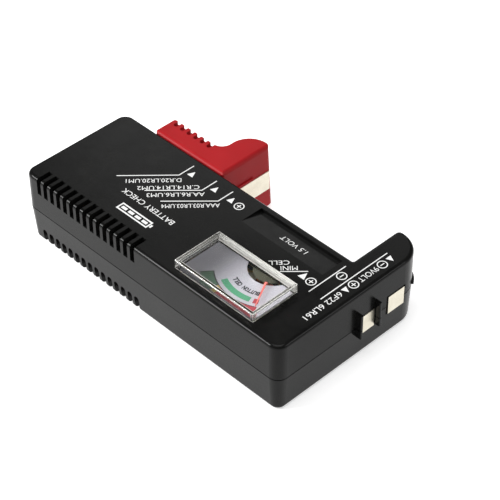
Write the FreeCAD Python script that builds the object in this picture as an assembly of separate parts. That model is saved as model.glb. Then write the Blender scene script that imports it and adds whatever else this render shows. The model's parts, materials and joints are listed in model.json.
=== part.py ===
import FreeCAD, Part
import math
import os

# Pocket battery tester with a moving-coil meter, in millimetres, +Z up.
# +X is the end with the 9 V contacts, -Y the side with the vents, +Y the side of the slider and arm.
# Places are measured from under the middle of the case. The finished parts are then moved by to_middle,
# so that the origin is under the middle of the whole object, jaw and guards included.

V = FreeCAD.Vector

to_middle = V(-1.0, -0.5, 0)

# ---- case ----
length = 107.0
height = 25.0
split_z = 12.2
wall = 1.8
vent_y = -30.2
slide_y = 10.2
corner_r = 3.5
top_edge_r = 1.2
base_edge_r = 1.5
taper = 0.9
arm_x = 42.8
arm_tip_y = 29.3
arm_inner_r = 1.6
recess_x = (8.6, 40.9)
arm_outer_r = 9.0
notch_r = 0.35
half = length / 2
under_top = height - wall

# ---- slider ----
run_gap = 0.3
jaw_x = -10.5
jaw_back_x = -19.4
jaw_tip_y = 30.4
jaw_draft = 1.2
jaw_round_r = 7.15
slider_corner_r = 0.8
jaw_corner_r = 1.5
jaw_inner_r = 3.5
slider_edge_r = 1.3
grip_x = -40.2
grip_y = 18.7
slider_base_z = 1.4
neck_x = (-36.9, -14.9)
neck_z = (8.5, 15.9)
travel = (-10.0, 10.5)
guide_y = (4.9, slide_y - wall - taper)
strip_t = 0.6
tail_x = -16.4
tail_z = (9.5, 14.0)

# ---- meter ----
pivot_x = 29.7
pivot_y = -8.2
window_x = (9.7, 41.0)
window_y = (-27.4, -10.0)
window_top = 27.9
window_r = 0.45
cover_t = 1.2
dial_t = 0.4
hub_cut_r = 7.4
tray_x = (11.0, 41.2)
tray_y = (-26.6, 0.8)
tray_z = (6.2, 21.9)
tray_t = 1.2
flange_x = (9.2, 42.8)
flange_y = (-28.0, 1.4)
flange_r = 1.0
dial_posts_x = (13.6, 38.3)
dial_posts_y = (-24.0, -13.6)
terminal_x = 14.5
needle_rest_deg = 28.0
needle_r = 17.0
post_reach = 8.9
post_r = 1.2
bar_half_w = 1.6
bar_half_l = 10.2
core_z = (11.0, 18.5)
yoke_r = 7.6
air_r = 5.6
magnet_r = 3.8
low_bridge_z = (7.4, 8.4)
top_bridge_z = (21.2, 21.8)
bridge_screw_r = 0.5
bearing_r = 1.1
coil_z = (9.6, 19.9)
staff_r = 0.35
staff_z = (9.1, 20.8)
spring_low_z = (9.05, 9.3)
spring_top_z = (20.7, 20.95)

# ---- contacts ----
plate_t = 0.5
plate_sunk = 0.3
plus_y = (2.4, 7.8)
plus_z = (9.0, 15.3)
minus_y = (13.6, 20.2)
minus_z = (9.5, 15.8)
minus_window_y = (13.0, 20.8)
minus_window_z = (9.2, 16.2)
guard_y = (0.5, 8.1)
guard_z = (9.3, 18.0)
arm_plate_y = (12.6, 25.4)
arm_plate_z = (7.4, 17.6)
cell_plate_x = (36.1, 40.9)
cell_plate_z = (8.1, 16.9)

# ---- fixing points ----
case_screws_at = [(-47.8, -20.5), (-47.8, 0.5), (47.8, -23.5), (47.6, 0.4)]
meter_screws_at = [(6.6, -14.5), (45.6, -12.0)]
board_screws_at = [(-17.0, -8.0), (3.0, -8.0)]
post_foot_z = 6.0

# ---- circuit board ----
board_x = (-20.0, 6.0)
board_middle_x = (board_x[0] + board_x[1]) / 2
board_y = (-24.0, -6.0)
board_z = (4.2, 5.4)
lead_r = 0.3
wire_r = 0.6


def box(x, y, z):
    """Box between each pair of limits."""
    return Part.makeBox(x[1] - x[0], y[1] - y[0], z[1] - z[0], V(x[0], y[0], z[0]))


def post(x, y, z, r):
    """Upright cylinder."""
    return Part.makeCylinder(r, z[1] - z[0], V(x, y, z[0]))


def grow(pair, by):
    """A pair of limits moved apart by the same amount."""
    return (pair[0] - by, pair[1] + by)


def join(shapes):
    """One shape fused from a list."""
    whole = shapes[0].multiFuse(shapes[1:]) if len(shapes) > 1 else shapes[0]
    return whole.removeSplitter()


def rounded_wire(corners, z):
    """Closed wire through corners (x, y, radius), each corner rounded by a tangent arc."""
    count = len(corners)
    ends = []
    for i, (x, y, r) in enumerate(corners):
        here = V(x, y, z)
        if r == 0:
            ends.append((here, None, here))
            continue
        before = V(corners[i - 1][0], corners[i - 1][1], z) - here
        after = V(corners[(i + 1) % count][0], corners[(i + 1) % count][1], z) - here
        before.normalize()
        after.normalize()
        half_angle = before.getAngle(after) / 2
        reach = r / math.tan(half_angle)
        inward = (before + after).normalize()
        middle = here + inward * (r / math.sin(half_angle) - r)
        ends.append((here + before * reach, middle, here + after * reach))
    edges = []
    for i, (start, middle, stop) in enumerate(ends):
        if middle is not None:
            edges.append(Part.Arc(start, middle, stop).toShape())
        onward = ends[(i + 1) % count][0]
        if (onward - stop).Length > 1e-4:
            edges.append(Part.LineSegment(stop, onward).toShape())
    return Part.Wire(edges)


def slab(corners, z):
    """Prism on a rounded outline, between two heights."""
    return Part.Face(rounded_wire(corners, z[0])).extrude(V(0, 0, z[1] - z[0]))


def rectangle(x, y, r):
    """Corners of a rectangle with one corner radius."""
    return [(x[0], y[0], r), (x[1], y[0], r), (x[1], y[1], r), (x[0], y[1], r)]


def bent_strip(points, thickness, bend_r):
    """Outline of a strip of sheet metal that follows points, bent with an inside radius."""
    left = []
    right = []
    for i, (x, y) in enumerate(points):
        normals = []
        if i > 0:
            step = V(x - points[i - 1][0], y - points[i - 1][1], 0).normalize()
            normals.append(V(-step.y, step.x, 0))
        if i < len(points) - 1:
            step = V(points[i + 1][0] - x, points[i + 1][1] - y, 0).normalize()
            normals.append(V(-step.y, step.x, 0))
        if len(normals) == 1:
            off = normals[0] * (thickness / 2)
            radii = (0, 0)
        else:
            mitre = (normals[0] + normals[1]).normalize()
            off = mitre * (thickness / 2 / mitre.dot(normals[0]))
            turns_left = normals[0].cross(normals[1]).z > 0
            inside = (bend_r, bend_r + thickness)
            radii = inside if turns_left else (inside[1], inside[0])
        left.append((x + off.x, y + off.y, radii[0]))
        right.append((x - off.x, y - off.y, radii[1]))
    return left + right[::-1]


def case_outline(inset, z, least_r=0.3):
    """Outline of the case from above, moved inwards, with no corner tighter than least_r."""
    least_flat = 0.05
    width = half - arm_x - 2 * inset
    inner_r = max(arm_inner_r - inset, least_r)
    outer_r = min(arm_outer_r - inset, width - inner_r - least_flat)
    r = max(corner_r - inset, least_r)
    corners = [(-half + inset, vent_y + inset, r),
               (half - inset, vent_y + inset, r),
               (half - inset, arm_tip_y - inset, outer_r),
               (arm_x + inset, arm_tip_y - inset, inner_r),
               (arm_x + inset, slide_y - inset, notch_r + inset),
               (-half + inset, slide_y - inset, r)]
    return rounded_wire(corners, z)


def prism(wire, rise):
    """Closed wire pushed straight up."""
    return Part.Face(wire).extrude(V(0, 0, rise))


def edges_at(shape, z):
    """Edges that lie wholly at one height."""
    return [e for e in shape.Edges if abs(e.BoundBox.ZMin - z) < 1e-4 and abs(e.BoundBox.ZMax - z) < 1e-4]


def vents(side_z, edge_z, flat_y, width, end_r):
    """Slots that wrap one long edge of the case, from side_z on the wall to flat_y on the flat."""
    count = 15
    first_x = -46.7
    pitch = 2.964
    outside = 1.0
    through = 0.2
    inward = side_z + end_r if edge_z > 0 else side_z - end_r
    side = tuple(sorted((inward, edge_z)))
    deep = (vent_y - outside, vent_y + wall + taper + through)
    flat = (edge_z - wall - through, edge_z + outside) if edge_z > 0 else (-outside, wall + through)
    cuts = []
    for i in range(count):
        x = first_x + i * pitch
        wide = (x - width / 2, x + width / 2)
        cuts.append(box(wide, (vent_y - outside, flat_y - end_r), flat))
        cuts.append(box(wide, deep, side))
        if end_r:
            cuts.append(post(x, flat_y - end_r, flat, end_r))
            cuts.append(Part.makeCylinder(end_r, deep[1] - deep[0], V(x, deep[0], inward), V(0, 1, 0)))
    return Part.makeCompound(cuts)


def wall_windows():
    """Openings through the side walls, half in each shell, for the slider and the contacts."""
    fit = 0.1
    inside = wall + 1.2
    outside = 0.5
    slot_x = (neck_x[0] + travel[0] - run_gap, neck_x[1] + travel[1] + run_gap)
    through = (slide_y - inside, slide_y + outside)
    end_wall = (half - inside, half + outside)
    arm_wall = (arm_x - outside, arm_x + inside)
    cuts = [box(slot_x, through, grow(neck_z, run_gap)),
            box(grow(cell_plate_x, fit), through, grow(cell_plate_z, fit)),
            box(arm_wall, grow(arm_plate_y, fit), grow(arm_plate_z, fit)),
            box(end_wall, grow(plus_y, fit), grow(plus_z, fit)),
            box(end_wall, minus_window_y, minus_window_z)]
    return Part.makeCompound(cuts)


def stud_guards(z):
    """Two upright fins that guide the small stud of a 9 V battery."""
    proud = 1.9
    thick = 0.9
    root = 0.9
    tip_r = 0.25
    fins = []
    for y in guard_y:
        outline = [(half - root, y, 0), (half + proud, y, tip_r),
                   (half + proud, y + thick, tip_r), (half - root, y + thick, 0)]
        fins.append(slab(outline, z))
    return fins


def top_shell():
    """Upper half of the case."""
    depth = height - split_z
    groove = 0.3
    rabbet_inset = 0.95
    rabbet_depth = 1.1
    boss_r = 2.8
    meter_boss_r = 2.3
    pilot_r = 1.1
    meter_pilot_r = 1.0
    boss_z = (post_foot_z, under_top + 0.3)
    meter_boss_z = (tray_z[1], under_top + 0.3)
    shell = prism(case_outline(0, split_z), depth)
    shell = shell.makeFillet(top_edge_r, edges_at(shell, height))
    shell = shell.cut(prism(case_outline(wall, split_z), depth - wall))
    shell = shell.cut(prism(case_outline(rabbet_inset, split_z), rabbet_depth))
    rim = prism(case_outline(-1, split_z), groove).cut(prism(case_outline(groove, split_z), groove))
    shell = shell.cut(rim)

    lip_h = 0.7
    lip_root = 0.6
    lip_proud = 0.65
    lip_start_deg = 32
    lip_span_deg = 50
    lip_foot = V(half - arm_outer_r, arm_tip_y - arm_outer_r, split_z + groove)
    up = V(0, 0, 1)
    lip = Part.makeCylinder(arm_outer_r + lip_proud, lip_h, lip_foot, up, lip_span_deg)
    lip.rotate(lip_foot, up, lip_start_deg)
    lip = lip.cut(Part.makeCylinder(arm_outer_r - lip_root, lip_h, lip_foot))

    pad_t = 1.0
    pad_y = (2.0, slide_y - wall)
    extra = [lip] + stud_guards((split_z + groove, guard_z[1]))
    extra.append(box(grow(recess_x, 1.0), pad_y, (under_top - pad_t, under_top)))
    extra += [post(x, y, boss_z, boss_r) for x, y in case_screws_at]
    extra += [post(x, y, meter_boss_z, meter_boss_r) for x, y in meter_screws_at]
    shell = join([shell] + extra)

    cuts = [vents(19.4, height, -25.2, 1.78, 0), wall_windows()]
    fit = 0.15
    window = rectangle(grow(window_x, fit), grow(window_y, fit), window_r + fit)
    cuts.append(slab(window, (under_top - 1, height + 1)))
    cuts += [post(x, y, (post_foot_z - 1, 17.0), pilot_r) for x, y in case_screws_at]
    cuts += [post(x, y, (tray_z[1] - 1, 24.0), meter_pilot_r) for x, y in meter_screws_at]
    cuts.append(label_recess())
    return shell.cut(cuts)


def label_recess():
    """Sloped finger recess in the top: flush at its inner edge and deepest at the outer one."""
    inner_y = -0.3
    outer_y = 7.9
    deepest = 1.2
    x = recess_x[0]
    side = [V(x, inner_y, height), V(x, outer_y, height - deepest),
            V(x, outer_y, height + 1), V(x, inner_y, height + 1)]
    return Part.Face(Part.makePolygon(side + side[:1])).extrude(V(recess_x[1] - x, 0, 0))


def bottom_shell():
    """Lower half of the case, drawn in a little towards its base."""
    lip_h = 1.0
    lip_inset = 1.0
    boss_r = 3.2
    board_boss_r = 2.2
    head_r = 2.6
    head_z = 3.0
    clearance_r = 1.3
    board_pilot_r = 0.8
    rail_rib_t = 2.6
    tray_rib_t = 1.2
    floor = wall / 2
    base_outline = case_outline(taper, 0, arm_inner_r + 0.05)
    outer = Part.makeLoft([base_outline, case_outline(0, split_z)], True, True)
    outer = outer.makeFillet(base_edge_r, edges_at(outer, 0))
    lip = prism(case_outline(lip_inset, split_z), lip_h)
    inner = Part.makeLoft([case_outline(wall + taper, wall), case_outline(wall, split_z)], True, True)
    shell = outer.fuse(lip).cut([inner, prism(case_outline(wall, split_z), lip_h)])

    extra = stud_guards((guard_z[0], split_z))
    extra += [post(x, y, (floor, post_foot_z), boss_r) for x, y in case_screws_at]
    extra += [post(x, y, (floor, board_z[0]), board_boss_r) for x, y in board_screws_at]
    extra += [box((x, x + rail_rib_t), (1.8, 3.5), (floor, split_z - 0.4)) for x in (-40.0, -4.6)]
    extra += [box((20.0, 34.0), (y, y + tray_rib_t), (floor, tray_z[0])) for y in (-22.0, -4.0)]
    shell = join([shell] + extra)

    cuts = [vents(5.3, 0, -26.2, 2.0, 1.0), wall_windows(), contact_rail()]
    cuts += [post(x, y, (-1, head_z), head_r) for x, y in case_screws_at]
    cuts += [post(x, y, (-1, post_foot_z + 1), clearance_r) for x, y in case_screws_at]
    cuts += [post(x, y, (1.2, board_z[0] + 1), board_pilot_r) for x, y in board_screws_at]
    return shell.cut(cuts)


def screw(x, y, head_z, up, head_r, head_h, shank_r, shank_l):
    """Pan-head screw that stands on its driving face at head_z and points up (1) or down (-1)."""
    head = Part.makeCylinder(head_r, head_h, V(x, y, head_z), V(0, 0, up))
    shank = Part.makeCylinder(shank_r, shank_l, V(x, y, head_z + up * head_h), V(0, 0, up))
    narrow = 0.25
    wide = head_r * 0.6
    deep = 0.7
    z = (head_z - deep, head_z + deep)
    cross = [box((x - narrow, x + narrow), (y - wide, y + wide), z),
             box((x - wide, x + wide), (y - narrow, y + narrow), z)]
    head_edge_r = 0.4
    head = head.makeFillet(head_edge_r, edges_at(head, head_z))
    return head.fuse(shank).removeSplitter().cut(cross)


def case_screws():
    """Four screws from below that hold the two halves together."""
    size = {"head_r": 2.3, "head_h": 1.6, "shank_r": 1.1, "shank_l": 12.0}
    return Part.makeCompound([screw(x, y, 1.4, 1, **size) for x, y in case_screws_at])


def meter_screws():
    """Two screws through the ears of the meter's tray into the top."""
    size = {"head_r": 1.9, "head_h": 1.3, "shank_r": 1.0, "shank_l": 3.2}
    head_z = tray_z[1] - tray_t - size["head_h"]
    return Part.makeCompound([screw(x, y, head_z, 1, **size) for x, y in meter_screws_at])


def board_screws():
    """Two screws that hold the circuit board on its bosses."""
    size = {"head_r": 1.7, "head_h": 1.2, "shank_r": 0.8, "shank_l": 3.8}
    head_z = board_z[1] + size["head_h"]
    return Part.makeCompound([screw(x, y, head_z, -1, **size) for x, y in board_screws_at])


def slider_outline(tip_y):
    """Outline of the slider from above: finger grip, then the jaw that stands out from it."""
    r = slider_corner_r
    return [(grip_x, slide_y + run_gap, r), (jaw_x, slide_y + run_gap, r), (jaw_x, tip_y, jaw_corner_r),
            (jaw_back_x, tip_y, jaw_round_r), (jaw_back_x, grip_y, jaw_inner_r), (grip_x, grip_y, r)]


def grip_notch(x):
    """Shallow notch between two finger ribs, with a round end and a mouth that rounds the ribs' tips."""
    depth = 1.4
    r = 0.8
    deep_y = 16.1
    mouth = 0.35
    beyond = grip_y + 1
    side = [(r + mouth, beyond, 0), (r + mouth, grip_y, 0), (r, grip_y - mouth, 0.3), (r, deep_y, r - 0.05)]
    outline = [(x + dx, y, corner) for dx, y, corner in side]
    outline += [(x - dx, y, corner) for dx, y, corner in reversed(side)]
    return slab(outline, (height - depth, height + 1))


def round_overs():
    """What rounds the slider's top off along its inner edge and the jaw's face, mitred where they meet."""
    r = slider_edge_r
    beyond = 1.0
    front_y = slide_y + run_gap
    z = (height - r, height + beyond)
    along = box((grip_x - beyond, jaw_x + beyond), (front_y - beyond, front_y + r), z)
    run = jaw_x - grip_x + 2 * beyond
    along = along.cut(Part.makeCylinder(r, run, V(grip_x - beyond, front_y + r, z[0]), V(1, 0, 0)))
    across_y = (front_y - beyond, jaw_tip_y + beyond)
    across = box((jaw_x - r, jaw_x + beyond), across_y, z)
    reach = across_y[1] - across_y[0]
    across = across.cut(Part.makeCylinder(r, reach, V(jaw_x - r, across_y[0], z[0]), V(0, 1, 0)))
    return [along, across]


def slider_jaw():
    """Red slider with its finger grip and the movable jaw."""
    notch_count = 6
    notch_pitch = 2.93
    first_notch = -37.8
    top_break = 0.3
    base_break = 0.4
    wires = [rounded_wire(slider_outline(jaw_tip_y + jaw_draft), slider_base_z),
             rounded_wire(slider_outline(jaw_tip_y), height)]
    body = Part.makeLoft(wires, True, True)
    body = body.makeFillet(top_break, edges_at(body, height))
    body = body.makeFillet(base_break, edges_at(body, slider_base_z))
    body = body.cut(round_overs())
    neck = box(neck_x, (guide_y[1], slide_y + 1), neck_z)
    ledge_proud = 0.5
    ledge = slab(rectangle((jaw_x - 1, jaw_x + ledge_proud), (16.5, 23.0), 0.2), (15.9, 16.6))
    body = join([body, neck, ledge])
    cuts = [grip_notch(first_notch + i * notch_pitch) for i in range(notch_count)]
    cuts.append(slider_contact())
    cuts += screw_shanks()
    return body.cut(cuts)


def screw_shanks():
    """Shanks of the two screws that hold the guide to the slider's neck."""
    r = 0.9
    length_in = 8.0
    z = 12.2
    return [Part.makeCylinder(r, length_in, V(x, guide_y[0], z), V(0, 1, 0)) for x in (-34.9, -27.8)]


def slider_screws():
    """Two screws that hold the guide on, put in from inside the case."""
    head_r = 1.7
    head_h = 1.1
    screws = []
    for shank in screw_shanks():
        centre = shank.CenterOfMass
        head = Part.makeCylinder(head_r, head_h, V(centre.x, guide_y[0] - head_h, centre.z), V(0, 1, 0))
        screws.append(head.fuse(shank).removeSplitter())
    return Part.makeCompound(screws)


def slider_guide():
    """Block inside the case that keeps the slider in its slot."""
    overlap_x = 1.0
    overlap_z = 2.3
    guide = slab(rectangle(grow(neck_x, overlap_x), guide_y, 0.6), grow(neck_z, overlap_z))
    return guide.cut([slider_contact()] + screw_shanks())


def slider_contact():
    """Bright strip on the jaw's face, with a tail that goes through the slider into the case."""
    face_z = (8.5, 15.5)
    turn_y = 12.3
    bend_r = 0.4
    face_path = [(jaw_x, jaw_tip_y - 0.6), (jaw_x, turn_y), (-13.4, turn_y)]
    tail_path = [(-13.0, turn_y), (tail_x, turn_y), (tail_x, guide_y[0])]
    return join([slab(bent_strip(face_path, strip_t, bend_r), face_z),
                 slab(bent_strip(tail_path, strip_t, bend_r), tail_z)])


def slider_wiper():
    """Bronze spring finger that rides on the rail inside the case."""
    thick = 0.25
    flat_y = guide_y[0] - thick / 2
    rail_y = 3.5
    bend_r = 0.3
    path = [(-15.2, flat_y), (-19.0, flat_y), (-22.6, rail_y), (-23.9, rail_y), (-25.6, 4.3)]
    return slab(bent_strip(path, thick, bend_r), grow(tail_z, -0.4))


def contact_rail():
    """Brass rail that the slider's finger rides on."""
    return box((-39.0, -3.0), (2.6, 3.2), (7.0, 14.0))


def end_contact(y, z, foot):
    """Plate that looks out of the case's +X end, on two legs that end in feet behind the wall."""
    leg_l = 2.8
    front_x = (half - plate_sunk, half - plate_sunk + plate_t)
    foot_x = (front_x[0] - leg_l, front_x[1] - leg_l)
    plate = box(front_x, y, z)
    legs = [box((foot_x[0], front_x[0]), (edge, edge + plate_t), z) for edge in (y[0], y[1] - plate_t)]
    feet = [box(foot_x, ends, z) for ends in ((y[0] - foot, y[0]), (y[1], y[1] + foot))] if foot else []
    return join([plate] + legs + feet)


def arm_contact():
    """Negative plate on the arm's inner face."""
    front_x = (arm_x - plate_sunk, arm_x - plate_sunk + plate_t)
    plate = box(front_x, arm_plate_y, arm_plate_z)
    legs = [box((front_x[1], arm_x + 3.0), (edge, edge + plate_t), arm_plate_z)
            for edge in (arm_plate_y[0], arm_plate_y[1] - plate_t)]
    return join([plate] + legs)


def mini_cell_contact():
    """Positive plate for button and other small cells, in the side wall beside the arm."""
    front_y = (slide_y - plate_sunk, slide_y - plate_sunk + plate_t)
    plate = box(cell_plate_x, front_y, cell_plate_z)
    legs = [box((edge, edge + plate_t), (slide_y - 2.9, front_y[0]), cell_plate_z)
            for edge in (cell_plate_x[0], cell_plate_x[1] - plate_t)]
    return join([plate] + legs)


def meter_cover():
    """Clear cover: a raised window, and a low roof over the meter's pivot."""
    roof_t = 0.9
    window_t = 1.0
    edge_r = 0.3
    inner_r = 0.5
    block = slab(rectangle(window_x, window_y, window_r), (under_top - 0.5, window_top))
    block = block.makeFillet(edge_r, edges_at(block, window_top))
    plate = slab(rectangle(flange_x, flange_y, flange_r), (tray_z[1], under_top))
    inside = slab(rectangle(grow(window_x, -cover_t), grow(window_y, -cover_t), inner_r),
                  (tray_z[1], window_top - window_t))
    low = box(grow(tray_x, -tray_t), grow(tray_y, -tray_t), (tray_z[1], under_top - roof_t))
    return join([block, plate]).cut([inside, low])


def meter_base():
    """Tray that carries the meter's parts, with four posts for the dial."""
    ear_r = 2.4
    dial_post_r = 1.1
    hole_r = 1.0
    flange_z = (tray_z[1] - tray_t, tray_z[1])
    dial_z = height - dial_t
    tray = join([box(tray_x, tray_y, tray_z), slab(rectangle(flange_x, flange_y, flange_r), flange_z)])
    for x, y in meter_screws_at:
        near = flange_x[0] + 1 if x < flange_x[0] else flange_x[1] - 1
        arm = box(tuple(sorted((x, near))), (y - ear_r, y + ear_r), flange_z)
        tray = join([tray, post(x, y, flange_z, ear_r), arm])
    hollow_z = (tray_z[0] + tray_t, tray_z[1] + 1)
    tray = tray.cut([box(grow(tray_x, -tray_t), grow(tray_y, -tray_t), hollow_z)])
    posts = [post(x, y, (tray_z[0] + 1, dial_z), dial_post_r) for x in dial_posts_x for y in dial_posts_y]
    tray = join([tray] + posts)
    holes = [post(x, y, (0, height), hole_r) for x, y in meter_screws_at]
    return tray.cut(holes + terminal_pins())


def meter_dial():
    """Scale plate with a half-round cut-out over the pivot."""
    inset = cover_t + 0.2
    plate = box(grow(window_x, -inset), grow(window_y, -inset), (height - dial_t, height))
    return plate.cut(post(pivot_x, pivot_y, (0, height + 1), hub_cut_r))


def ring(inner_r, outer_r, z):
    """Ring round the meter's pivot axis."""
    return post(pivot_x, pivot_y, z, outer_r).cut(post(pivot_x, pivot_y, z, inner_r))


def bridge_posts(z):
    """Two posts either side of the coil."""
    return [post(pivot_x + side * post_reach, pivot_y, z, post_r) for side in (-1, 1)]


def meter_yoke():
    """Soft-iron ring round the core magnet, with a lug for each post."""
    body = post(pivot_x, pivot_y, core_z, yoke_r)
    lugs = box(grow((pivot_x, pivot_x), bar_half_l), grow((pivot_y, pivot_y), bar_half_w), core_z)
    return join([body, lugs]).cut([post(pivot_x, pivot_y, core_z, air_r)] + bridge_posts(core_z))


def meter_magnet():
    """Core magnet inside the coil."""
    return post(pivot_x, pivot_y, core_z, magnet_r)


def core_supports():
    """Two blocks that hold the core in the ring, clear of the coil's sweep."""
    half_w = 1.2
    gap_ring = ring(magnet_r, air_r, grow(core_z, -1))
    across = box(grow((pivot_x, pivot_x), half_w), grow((pivot_y, pivot_y), yoke_r), core_z)
    return gap_ring.common(across)


def bridge_bar(z):
    """Flat bar through the pivot axis."""
    bar_x = grow((pivot_x, pivot_x), bar_half_l)
    return slab(rectangle(bar_x, grow((pivot_y, pivot_y), bar_half_w), 0.6), z)


def spring_stud(z):
    """Small block that holds the outer end of a hairspring."""
    return box((pivot_x - 3.0, pivot_x - 2.6), (pivot_y - 0.3, pivot_y + 0.3), z)


def bridge_screw_shanks(z):
    """The part of both bridge screws between two heights."""
    return [post(pivot_x + side * post_reach, pivot_y, z, bridge_screw_r) for side in (-1, 1)]


def lower_bridge():
    """Bar under the coil, with the two posts and the stud of the lower hairspring."""
    stud = spring_stud((low_bridge_z[1], spring_low_z[1] + 0.05))
    posts = bridge_posts((low_bridge_z[1], top_bridge_z[0]))
    bar = join([bridge_bar(low_bridge_z), stud] + posts)
    screws = bridge_screw_shanks((core_z[1], top_bridge_z[0]))
    return bar.cut([post(pivot_x, pivot_y, low_bridge_z, bearing_r)] + screws)


def upper_bridge():
    """Bar over the coil, with the stud of the upper hairspring."""
    bar = join([bridge_bar(top_bridge_z), spring_stud((spring_top_z[0] - 0.05, top_bridge_z[0]))])
    return bar.cut([post(pivot_x, pivot_y, top_bridge_z, bearing_r)] + bridge_screw_shanks(top_bridge_z))


def bridge_screws():
    """Two small screws that hold the upper bridge on its posts."""
    head_r = 1.0
    head_z = (top_bridge_z[1], top_bridge_z[1] + 0.35)
    screws = []
    for shank in bridge_screw_shanks((core_z[1], top_bridge_z[1])):
        screws.append(join([shank, post(shank.CenterOfMass.x, pivot_y, head_z, head_r)]))
    return Part.makeCompound(screws)


def jewel_screws():
    """Threaded bearings at both ends of the coil's axis."""
    bearing_z = ((low_bridge_z[0], low_bridge_z[1] + 0.3), (top_bridge_z[0], top_bridge_z[1] + 0.3))
    return Part.makeCompound([post(pivot_x, pivot_y, z, bearing_r) for z in bearing_z])


def at_rest(shape):
    """Turn a moving meter part from pointing at -Y to its rest angle."""
    shape.rotate(V(pivot_x, pivot_y, 0), V(0, 0, 1), needle_rest_deg)
    return shape


def moving_coil():
    """Rectangular coil that turns in the air gap."""
    half_w = 5.2
    half_t = 1.2
    bend_r = 0.7
    side_t = 1.05
    end_t = 0.8
    outer = box((-half_w, half_w), (-half_t, half_t), coil_z)
    corners = [e for e in outer.Edges if abs(e.BoundBox.YLength - 2 * half_t) < 1e-4]
    outer = outer.makeFillet(bend_r, corners)
    coil = outer.cut(box((side_t - half_w, half_w - side_t), (-2, 2), grow(coil_z, -end_t)))
    coil.translate(V(pivot_x, pivot_y, 0))
    return at_rest(coil)


def coil_staffs():
    """Steel pivots on the coil's top and bottom, each with a fine point."""
    point_r = 0.12
    point_h = 0.35
    lower_point = Part.makeCone(point_r, staff_r, point_h, V(pivot_x, pivot_y, staff_z[0] - point_h))
    upper_point = Part.makeCone(staff_r, point_r, point_h, V(pivot_x, pivot_y, staff_z[1]))
    lower = post(pivot_x, pivot_y, (staff_z[0], coil_z[0]), staff_r)
    upper = post(pivot_x, pivot_y, (coil_z[1], staff_z[1]), staff_r)
    return Part.makeCompound([join([lower, lower_point]), join([upper, upper_point])])


def meter_needle():
    """Needle that rises through the dial's cut-out, with its tail and balance weights."""
    hub_z = 20.25
    tip_z = 25.75
    thick = 0.3
    bend_r = 0.3
    weight_r = 0.33
    weight_l = 1.1
    side_path = [(-4.4, hub_z), (4.9, hub_z), (7.0, tip_z), (needle_r, tip_z)]
    blade = slab(bent_strip(side_path, thick, bend_r), (-1, 1))
    on_edge = FreeCAD.Rotation(V(0, -1, 0), V(0, 0, 1), V(-1, 0, 0), "XYZ")
    blade.Placement = FreeCAD.Placement(V(0, 0, 0), on_edge)
    plan = slab([(-0.45, 5, 0), (-0.45, -5, 0), (-0.3, -7.5, 0), (-0.12, -needle_r, 0),
                 (0.12, -needle_r, 0), (0.3, -7.5, 0), (0.45, -5, 0), (0.45, 5, 0)], (hub_z - 1, tip_z + 1))
    cross = [box((-2.8, 2.8), (-0.35, 0.35), (hub_z - thick / 2, hub_z + thick / 2)),
             post(0, 0, (20.0, 20.6), 0.9)]
    weights = [Part.makeCylinder(weight_r, weight_l, V(x, y, hub_z), V(dx, dy, 0))
               for x, y, dx, dy in ((2.4, 0, 1, 0), (-2.4, 0, -1, 0), (0, 3.8, 0, 1))]
    needle = join([blade.common(plan)] + cross + weights)
    needle.translate(V(pivot_x, pivot_y, 0))
    return at_rest(needle).cut(post(pivot_x, pivot_y, (19, 22), staff_r))


def hairspring(z):
    """Flat spiral of half circles, each a little wider than the last, on a ring that clears the staff."""
    start_r = 0.8
    half_turns = 7
    growth = 0.27
    strip = 0.12

    def run(offset):
        arcs = []
        for i in range(half_turns):
            side = -1 if i % 2 else 1
            centre_x = pivot_x + (growth if i % 2 else 0)
            r = start_r + i * growth + offset
            start = V(centre_x + side * r, pivot_y, z[0])
            middle = V(centre_x, pivot_y + side * r, z[0])
            stop = V(centre_x - side * r, pivot_y, z[0])
            arcs.append(Part.Arc(start, middle, stop).toShape())
        return arcs

    inner = run(-strip / 2)
    outer = run(strip / 2)
    start_cap = Part.makeLine(inner[0].Vertexes[0].Point, outer[0].Vertexes[0].Point)
    end_cap = Part.makeLine(inner[-1].Vertexes[-1].Point, outer[-1].Vertexes[-1].Point)
    leaf = Part.Face(Part.Wire(inner + [end_cap] + outer[::-1] + [start_cap]))
    return join([leaf.extrude(V(0, 0, z[1] - z[0])), ring(0.45, 0.82, z)])


def hairsprings():
    """Upper and lower hairsprings, which also feed the coil."""
    return Part.makeCompound([hairspring(spring_low_z), hairspring(spring_top_z)])


def terminal_pins():
    """Two pins through the floor of the meter's tray."""
    r = 0.7
    return [post(terminal_x, y, (3.6, 9.4), r) for y in (-21.5, -4.0)]


def meter_terminals():
    """The meter's two solder pins, each with a collar."""
    collar_r = 1.5
    collar_z = (5.5, tray_z[0])
    return Part.makeCompound([join([pin, post(terminal_x, pin.CenterOfMass.y, collar_z, collar_r)])
                              for pin in terminal_pins()])


def tube(points, r, bend_r):
    """Round wire along straight runs joined by tangent arcs; returns the solid."""
    path = []
    start = V(*points[0])
    for i in range(1, len(points) - 1):
        here = V(*points[i])
        before = (V(*points[i - 1]) - here).normalize()
        after = (V(*points[i + 1]) - here).normalize()
        half_angle = before.getAngle(after) / 2
        reach = bend_r / math.tan(half_angle)
        inward = (before + after).normalize()
        middle = here + inward * (bend_r / math.sin(half_angle) - bend_r)
        path.append(Part.LineSegment(start, here + before * reach).toShape())
        path.append(Part.Arc(here + before * reach, middle, here + after * reach).toShape())
        start = here + after * reach
    path.append(Part.LineSegment(start, V(*points[-1])).toShape())
    heading = V(*points[1]) - V(*points[0])
    section = Part.Wire(Part.Circle(V(*points[0]), heading, r).toShape())
    return Part.Wire(path).makePipeShell([section], True, True)


resistors = {
    "load_resistor_1v5": (-21.0, 1.9, 9.5, 15.0),
    "load_resistor_9v": (-16.5, 1.6, 9.0, 15.0),
    "load_resistor_mini": (-12.8, 1.2, 6.5, 11.0),
    "meter_series_resistor": (-9.8, 1.2, 6.5, 11.0),
}


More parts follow.
